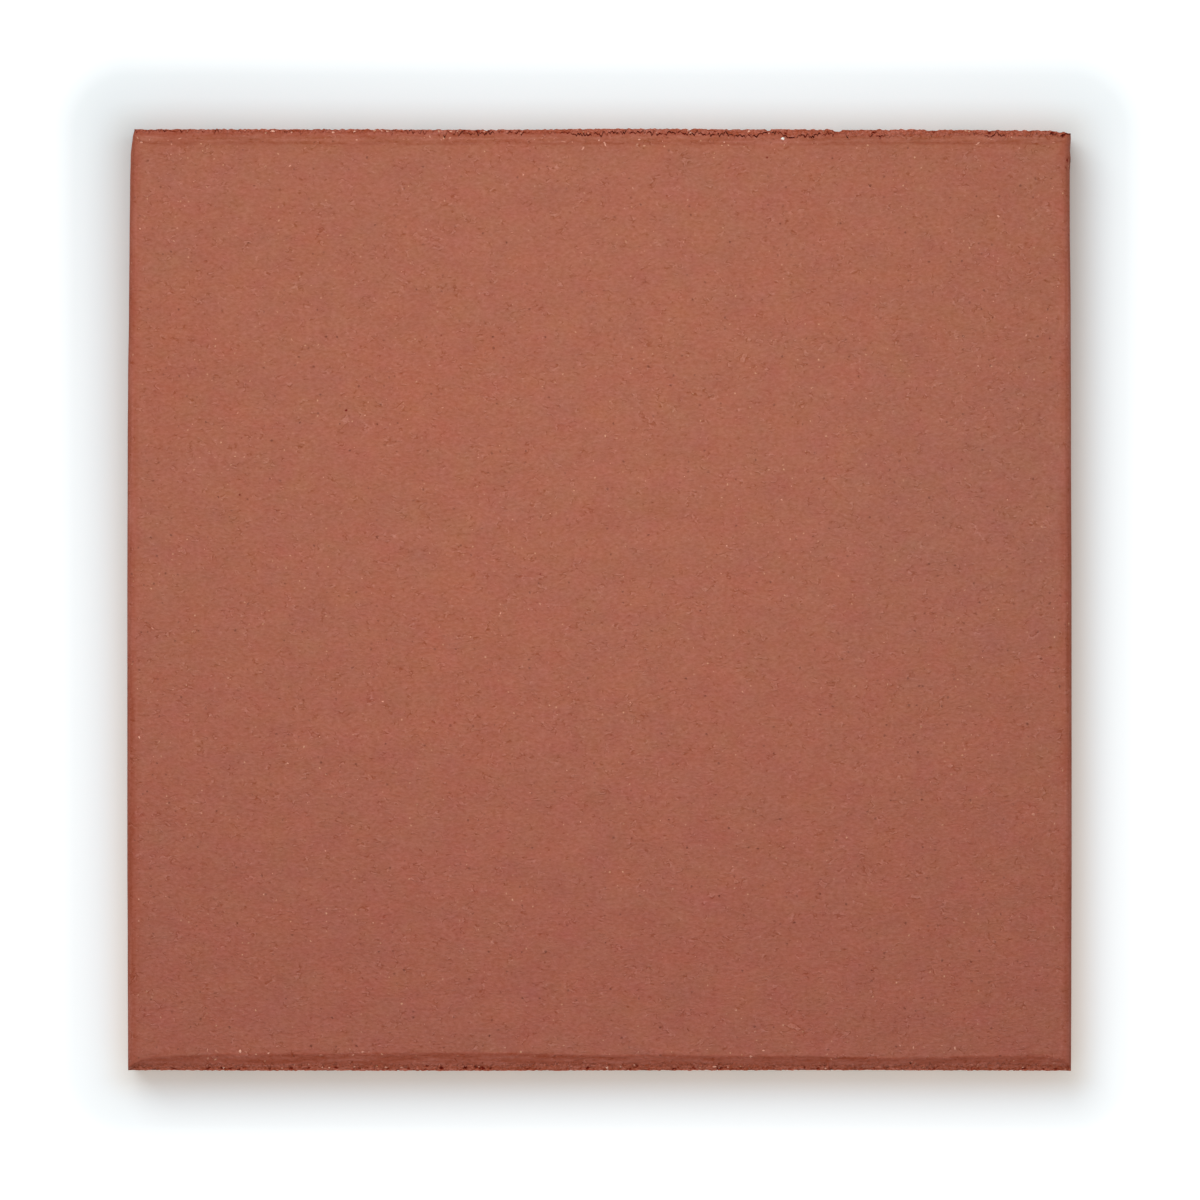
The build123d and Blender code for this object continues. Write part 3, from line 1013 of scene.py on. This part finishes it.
# Long chips and smears of the same pale clay: place across and along, length and width in millimetres,
# turn in degrees, and how pale, 0 to 1
FLECKS = [
    (-2.6, 71.7, 0.74, 0.35, 58, 0.4), (-66.7, 73.2, 0.9, 0.24, 23, 0.3), (-5.6, 72.7, 1.06, 0.25, 166, 0.2),
    (-72.7, 72.6, 0.64, 0.31, 175, 0.4), (0.9, 72.3, 0.87, 0.32, 112, 0.6), (60, 72.4, 0.87, 0.31, 41, 0.4),
    (-60.8, -71.6, 0.95, 0.3, 145, 0.1), (68.8, -34, 0.72, 0.46, 152, 0.2),
    (56.4, -71.1, 0.61, 0.28, 94, 0.5), (-38.5, 73, 0.46, 0.31, 155, 0.6), (-72.9, 58.9, 0.47, 0.3, 159, 0.6),
    (49.8, -71, 0.61, 0.24, 91, 0.5), (36.1, -72.1, 0.63, 0.35, 39, 0.1), (-62.2, -71.4, 0.79, 0.19, 83, 0.3),
    (-44.2, -72.2, 0.7, 0.24, 2, 0.1), (-71.4, 73, 0.72, 0.25, 62, 0.2), (-9.1, 73.3, 0.56, 0.32, 61, 0.1),
    (-57.5, 71.9, 0.69, 0.31, 57, 0.1), (5.3, 65.3, 0.6, 0.23, 99, 0.3), (-56.1, -71.7, 0.61, 0.27, 156, 0.1),
    (-25.1, 73, 0.47, 0.27, 114, 0.2), (72.1, 72.6, 0.6, 0.21, 176, 0.2), (-67.9, 72.3, 0.44, 0.25, 82, 0.3),
    (-72.5, 60.4, 0.56, 0.22, 151, 0.1), (-20.1, 55.3, 0.48, 0.24, 171, 0.1), (53.6, 36.4, 0.5, 0.23, 9, 0.1),
    (-24.9, 30.5, 0.44, 0.24, 11, 0.3), (-70.9, -4.5, 0.64, 0.23, 142, 0.3),
    (-39.6, -71.3, 0.5, 0.24, 97, 0.2), (-52.5, -71.9, 0.4, 0.26, 43, 0.7),
    (-39.1, -72.2, 0.56, 0.23, 9, 0.5), (-26.9, 73.5, 0.52, 0.24, 118, 0.4),
    (-23.8, 73.2, 0.45, 0.24, 2, 0.2), (-31.1, 73.1, 0.46, 0.23, 180, 0.1), (-2.6, 73, 0.62, 0.18, 0, 0.1),
    (56, 71.4, 0.52, 0.21, 80, 0.2), (56.7, 41.5, 0.54, 0.19, 167, 0.2), (7.3, 18.9, 0.38, 0.26, 89, 0.2),
    (25.1, 12.2, 0.38, 0.25, 96, 0.3), (72.3, -0.2, 0.45, 0.26, 1, 0.1), (-53.6, -2.2, 0.39, 0.25, 87, 0.1),
    (-32.8, 74.3, 0.48, 0.19, 43, 0.1), (-7.2, 73.2, 0.36, 0.23, 18, 0.1), (-60.5, 73.1, 0.73, 0.16, 0, 0),
    (-11.7, 73.1, 0.37, 0.23, 20, 0), (-4.3, 72.6, 0.47, 0.19, 94, 0.3), (-46.7, 71.7, 0.48, 0.2, 27, 0.2),
    (27.8, 71.5, 0.45, 0.23, 44, 0.1), (40.8, 71.7, 0.36, 0.23, 11, 0.3), (-49.1, 68.9, 0.5, 0.24, 31, 0.5),
    (19.3, 44.3, 0.37, 0.23, 72, 0.1), (-1.3, 43.8, 0.49, 0.19, 3, 0.2), (-72.5, 34.2, 0.36, 0.24, 16, 0.1),
    (-37.2, 29.3, 0.35, 0.23, 167, 0.7), (2, 27.3, 0.36, 0.23, 162, 0.1), (-50.2, 17.7, 0.38, 0.22, 160, 0.1),
    (-11.9, 10.5, 0.55, 0.17, 159, 0.1), (-25.4, -4.3, 0.37, 0.23, 67, 0.3),
    (43.1, -4.5, 0.37, 0.23, 20, 0.1), (28.5, -24.8, 0.49, 0.18, 45, 0), (34.5, -36.4, 0.36, 0.24, 161, 0.2),
    (-73.2, -41, 0.37, 0.23, 21, 0.1), (60.9, -59.3, 0.51, 0.18, 68, 0.1),
    (54.3, -70.7, 0.36, 0.23, 160, 0.2), (1.2, -74.2, 0.55, 0.4, 30, 0.95),
    (-59.7, -74.2, 0.5, 0.35, 150, 0.8), (18.3, -74.1, 0.6, 0.3, 10, 0.75),
    (-42.9, -74.2, 0.5, 0.35, 60, 0.7), (3.3, -74.1, 0.4, 0.3, 120, 0.6), (-19.1, -74.1, 0.45, 0.3, 20, 0.5),
    (-44, -74.2, 0.4, 0.3, 80, 0.5), (-38.9, -74.1, 0.4, 0.3, 45, 0.5), (-33.9, -74.2, 0.55, 0.3, 0, 0.5),
    (-31.5, -74.2, 0.6, 0.25, 170, 0.4), (5.5, -73.8, 0.4, 0.25, 100, 0.4), (20.4, -74.2, 0.4, 0.25, 15, 0.4),
    (67.2, -74.2, 0.4, 0.25, 30, 0.4), (24, -72.5, 0.4, 0.25, 60, 0.4), (-51.8, 74.4, 0.5, 0.35, 20, 0.8),
    (23.7, 74.4, 0.5, 0.35, 60, 0.8), (-42.3, 74.2, 0.5, 0.4, 100, 0.8), (-38.9, 74.4, 0.5, 0.3, 10, 0.7),
    (-23.6, 74.4, 0.45, 0.3, 0, 0.6), (-33.7, 74.4, 0.45, 0.3, 150, 0.6), (-22.6, 74.4, 0.4, 0.25, 30, 0.5),
    (-48.9, 74.2, 0.4, 0.3, 90, 0.5), (14.4, 74.2, 0.4, 0.3, 20, 0.5), (36.9, 73.9, 0.4, 0.3, 130, 0.4),
    (6.3, 73.1, 0.5, 0.3, 10, 0.6), (-18.3, 74.4, 0.35, 0.25, 0, 0.5), (9, 74.2, 0.4, 0.25, 45, 0.4),
    (26.9, 74.1, 0.4, 0.25, 80, 0.4), (-1.8, 74.1, 0.4, 0.25, 120, 0.4),
]
FLECK_HEIGHT = 0.22 * MM
FLECK_PALENESS = 0.85
RAGGED_GRAIN = 0.55
SMALL_GRAINS = 200
SMALL_GRAIN_SIZES = (0.12 * MM, 0.2 * MM)
SMALL_GRAIN_REACH = 0.98
GRAIN_SHAPES = ((0.7, 1.4), (0.55, 0.95), (0.5, 0.8))
GRAIN_SUNK = 0.25
WHITE_GRAIN = 0.6
RED_GRAIN_COLOUR = (0.49, 0.17, 0.108, 1)
PALE_GRAIN_COLOUR = (1.0, 0.56, 0.42, 1)
WHITE_GRAIN_COLOUR = (1.0, 0.97, 0.9, 1)
GRAIN_ROUGHNESS = 0.8


def grain_material():
    """Pale sandy grains in the clay."""
    material = bpy.data.materials.new("pale grain")
    nodes = Nodes(material)
    shader = nodes.shader
    pale = nodes.mark("pale")
    colour = nodes.mix(pale, RED_GRAIN_COLOUR, PALE_GRAIN_COLOUR)
    nodes.put(shader.inputs["Base Color"], nodes.mix(nodes.ramp(pale, 0.9, 1.0), colour, WHITE_GRAIN_COLOUR))
    shader.inputs["Roughness"].default_value = GRAIN_ROUGHNESS
    shader.inputs["Specular IOR Level"].default_value = GLOSS
    bump = nodes.add("ShaderNodeBump", Height=nodes.waves(0.08 * MM), Distance=0.02 * MM)
    nodes.put(shader.inputs["Normal"], bump.outputs["Normal"])
    return material


def grain_places():
    """Every grain: place across and along, length, width and height, turn, and how pale it is."""
    chance = random.Random(11)
    places = []
    for size, spots in GRAINS.items():
        for x, y in spots:
            shape = [size * MM * chance.uniform(*span) for span in GRAIN_SHAPES]
            pale = 1.0 if size > WHITE_GRAIN else 2.2 * size - 0.5 + chance.uniform(0.0, 0.25)
            places.append((x * MM, y * MM, shape, chance.uniform(0, math.pi), pale))
    for x, y, length, width, turn, pale in FLECKS:
        shape = (length * MM, width * MM, FLECK_HEIGHT)
        places.append((x * MM, y * MM, shape, math.radians(turn), FLECK_PALENESS * pale))
    for _ in range(SMALL_GRAINS):
        x, y = (chance.uniform(-SMALL_GRAIN_REACH, SMALL_GRAIN_REACH) * half for half in (SIDE, CUT))
        shape = [chance.uniform(*SMALL_GRAIN_SIZES) for _ in range(3)]
        places.append((x, y, shape, chance.uniform(0, math.pi), chance.uniform(0.0, 0.8)))
    return places


def make_grains(tile):
    """Strews grains over the face, each sunk in the clay where it stands."""
    bpy.ops.object.select_all(action="DESELECT")
    grains = []
    for x, y, shape, turn, pale in grain_places():
        found, spot, normal, _ = tile.ray_cast(Vector((x, y, 2 * THICKNESS)), Vector((0, 0, -1)))
        if not found:
            continue
        centre = spot - normal * GRAIN_SUNK * shape[2]
        centre.z = min(centre.z, THICKNESS - shape[2] / 2)
        turned = (0, 0, turn)
        bpy.ops.mesh.primitive_ico_sphere_add(subdivisions=2, radius=0.5, location=centre, rotation=turned)
        grain = bpy.context.active_object
        grain.scale = shape
        for vertex in grain.data.vertices:
            vertex.co *= 1 + RAGGED_GRAIN * noise.noise(3.5 * vertex.co + Vector((len(grains), 0, 0)))
        mark = grain.data.attributes.new("pale", "FLOAT", "POINT")
        mark.data.foreach_set("value", [pale] * len(grain.data.vertices))
        grains.append(grain)
    for grain in grains:
        grain.select_set(True)
    bpy.ops.object.transform_apply(location=True, rotation=True, scale=True)
    bpy.ops.object.join()
    joined = bpy.context.active_object
    joined.name = "grains"
    keep_in_square(joined)
    bpy.ops.object.shade_smooth()
    joined.data.materials.append(grain_material())
    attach(joined, "root")
    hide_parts(NODE)


def make_tile():
    """The whole tile, in place of its plain solid."""
    bpy.ops.object.select_all(action="DESELECT")
    bpy.ops.mesh.primitive_cube_add(
        size=1,
        location=(0, 0, (GROOVE_DEPTH + THICKNESS) / 2),
        scale=(WIDTH, LENGTH, THICKNESS - GROOVE_DEPTH),
    )
    tile = bpy.context.active_object
    tile.name = "tile"
    bpy.ops.object.transform_apply(location=True, rotation=True, scale=True)
    die_section(tile)
    divide(tile)
    shape_cut_ends(tile)
    sink_face_pits(tile)
    for group, waves in RELIEF_WAVES.items():
        roughen(tile, group, waves)
    bow_sides(tile)
    keep_in_square(tile)
    tile.data.materials.append(clay())
    tile.select_set(True)
    bpy.ops.object.shade_smooth_by_angle(angle=math.radians(SHARP_TURN))
    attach(tile, "root")
    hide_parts(NODE)
    return tile


# Camera: straight down, as wide as the photograph
PHOTO_SIDE = 1200
TILE_PIXELS = 945.5
SHIFT_X = 0.08 * MM
LENS = 250.0
SENSOR = 36.0


def make_camera():
    """A long lens straight above the walking face, with the far end at the top of the picture."""
    frame_width = WIDTH * PHOTO_SIDE / TILE_PIXELS
    distance = frame_width * LENS / SENSOR
    bpy.ops.object.camera_add(location=(SHIFT_X, 0, THICKNESS + distance), rotation=(0, 0, 0))
    camera = bpy.context.active_object
    camera.data.lens = LENS
    camera.data.sensor_width = SENSOR
    camera.data.clip_start = 0.05
    camera.data.clip_end = 20
    bpy.context.scene.camera = camera


# Light: how much of a level surface's brightness each part gives at the middle of the face
SKY_LEVEL = 0.356
LAMPS = [
    ("soft window", Vector((-0.275, 0.425, 0.8)), 0.5, 0.257),
    ("low overhead", Vector((0.0, 0.042, 0.2225)), 0.15, 0.453),
]

# Floor: its colour, and the glow that the camera sees in it, in steps from the tile outwards. Each step has the
# distances from the tile where it starts and stops, and how much it adds. The glow is weaker and warm beside the
# tile, a painted warm shadow round it, and a little stronger towards the near end and the right, painted light
# in the tile's shadow there.
FLOOR_SIZE = 12
FLOOR_ROUGHNESS = 0.9
FLOOR_COLOUR = (0.75, 0.81, 0.83, 1)
WARM_SHADOW_GLOW = (1.0, 0.86, 0.72, 1)
WHITE = (1.0, 1.0, 1.0, 1)
GLOW_AND_HALO_STEPS = [(-2 * MM, 0, 0.235), (0, 3 * MM, 0.05), (3 * MM, 9 * MM, 0.04), (9 * MM, 30 * MM, 0.7)]
SHADOW_LIFT_TILT = (0.42, -1.5, 0.0)
SHADOW_LIFT_REACH = 30 * MM
WARM_SHADOW_REACH = 6 * MM


def seen_directly(nodes):
    """1 where the camera sees a surface, straight on or in gloss or glass, and 0 elsewhere."""
    path = nodes.add("ShaderNodeLightPath")
    total = path.outputs["Is Camera Ray"]
    for name in ("Is Glossy Ray", "Is Transmission Ray"):
        both = nodes.add("ShaderNodeMath", {"operation": "ADD", "use_clamp": True})
        nodes.put(both.inputs[0], total)
        nodes.put(both.inputs[1], path.outputs[name])
        total = both.outputs["Value"]
    return total


def make_light():
    """A pale sky all round, seen as white, a soft window beyond the far end, and a low lamp overhead."""
    world = bpy.data.worlds.new("pale sky")
    nodes = Nodes(world, "Background")
    nodes.shader.inputs["Color"].default_value = WHITE
    level = nodes.add("ShaderNodeMapRange", Value=seen_directly(nodes), To_Min=SKY_LEVEL, To_Max=1.0)
    nodes.put(nodes.shader.inputs["Strength"], level.outputs["Result"])
    bpy.context.scene.world = world
    for name, place, size, level in LAMPS:
        aim = Vector((0, 0, THICKNESS)) if place.y > CUT else Vector((place.x, place.y, THICKNESS))
        reach = (place - aim).length
        slant = (place - aim).z / reach
        bpy.ops.object.light_add(type="AREA", location=place)
        lamp = bpy.context.active_object
        lamp.name = name
        lamp.rotation_euler = (aim - place).to_track_quat("-Z", "Y").to_euler()
        lamp.data.shape = "SQUARE"
        lamp.data.size = size
        lamp.data.energy = level * math.pi**2 * reach**2 / slant
        lamp.visible_camera = False


def make_floor():
    """A pale floor that takes the tile's soft shadow and is seen as white away from it, with a painted warm
    shadow beside the tile.
    """
    bpy.ops.object.select_all(action="DESELECT")
    bpy.ops.mesh.primitive_plane_add(size=FLOOR_SIZE, location=(0, 0, 0))
    floor = bpy.context.active_object
    floor.name = "floor"
    material = bpy.data.materials.new("pale floor")
    nodes = Nodes(material)
    shader = nodes.shader
    shader.inputs["Base Color"].default_value = FLOOR_COLOUR
    shader.inputs["Roughness"].default_value = FLOOR_ROUGHNESS
    shader.inputs["Specular IOR Level"].default_value = 0.0
    parts = nodes.add("ShaderNodeSeparateXYZ", Vector=nodes.place)
    past = [nodes.sum("SUBTRACT", nodes.sum("ABSOLUTE", parts.outputs[axis], 0), SIDE) for axis in "XY"]
    under = nodes.sum("MINIMUM", nodes.sum("MAXIMUM", *past), 0.0)
    squares = [nodes.sum("POWER", nodes.sum("MAXIMUM", part, 0.0), 2.0) for part in past]
    away = nodes.sum("ADD", nodes.sum("SQRT", nodes.sum("ADD", *squares), 0), under)
    # The glow is weaker close to the tile, a painted shadow halo, and is lifted towards the near end and the
    # right, painted light in the shadow there
    glow = 0.0
    for start, stop, most in GLOW_AND_HALO_STEPS:
        part = nodes.add("ShaderNodeMapRange", Value=away, From_Min=start, From_Max=stop, To_Max=most)
        glow = nodes.sum("ADD", glow, part.outputs["Result"])
    shadow_lift = nodes.add("ShaderNodeVectorMath", {"operation": "DOT_PRODUCT"}, Vector=nodes.place)
    shadow_lift.inputs[1].default_value = SHADOW_LIFT_TILT
    close = nodes.times(nodes.ramp(away, SHADOW_LIFT_REACH, 0.0), nodes.ramp(away, GLOW_AND_HALO_STEPS[0][0], 0.0))
    glow = nodes.sum("ADD", glow, nodes.times(shadow_lift.outputs["Value"], close))
    # Warm glow beside the tile tints the shadow there, as painted shade
    nodes.put(shader.inputs["Emission Color"], nodes.mix(nodes.ramp(away, 0.0, WARM_SHADOW_REACH), WARM_SHADOW_GLOW, WHITE))
    nodes.put(shader.inputs["Emission Strength"], nodes.times(glow, seen_directly(nodes)))
    floor.data.materials.append(material)


scene = bpy.context.scene
scene.view_settings.view_transform = "Standard"
make_camera()
make_grains(make_tile())
make_light()
make_floor()
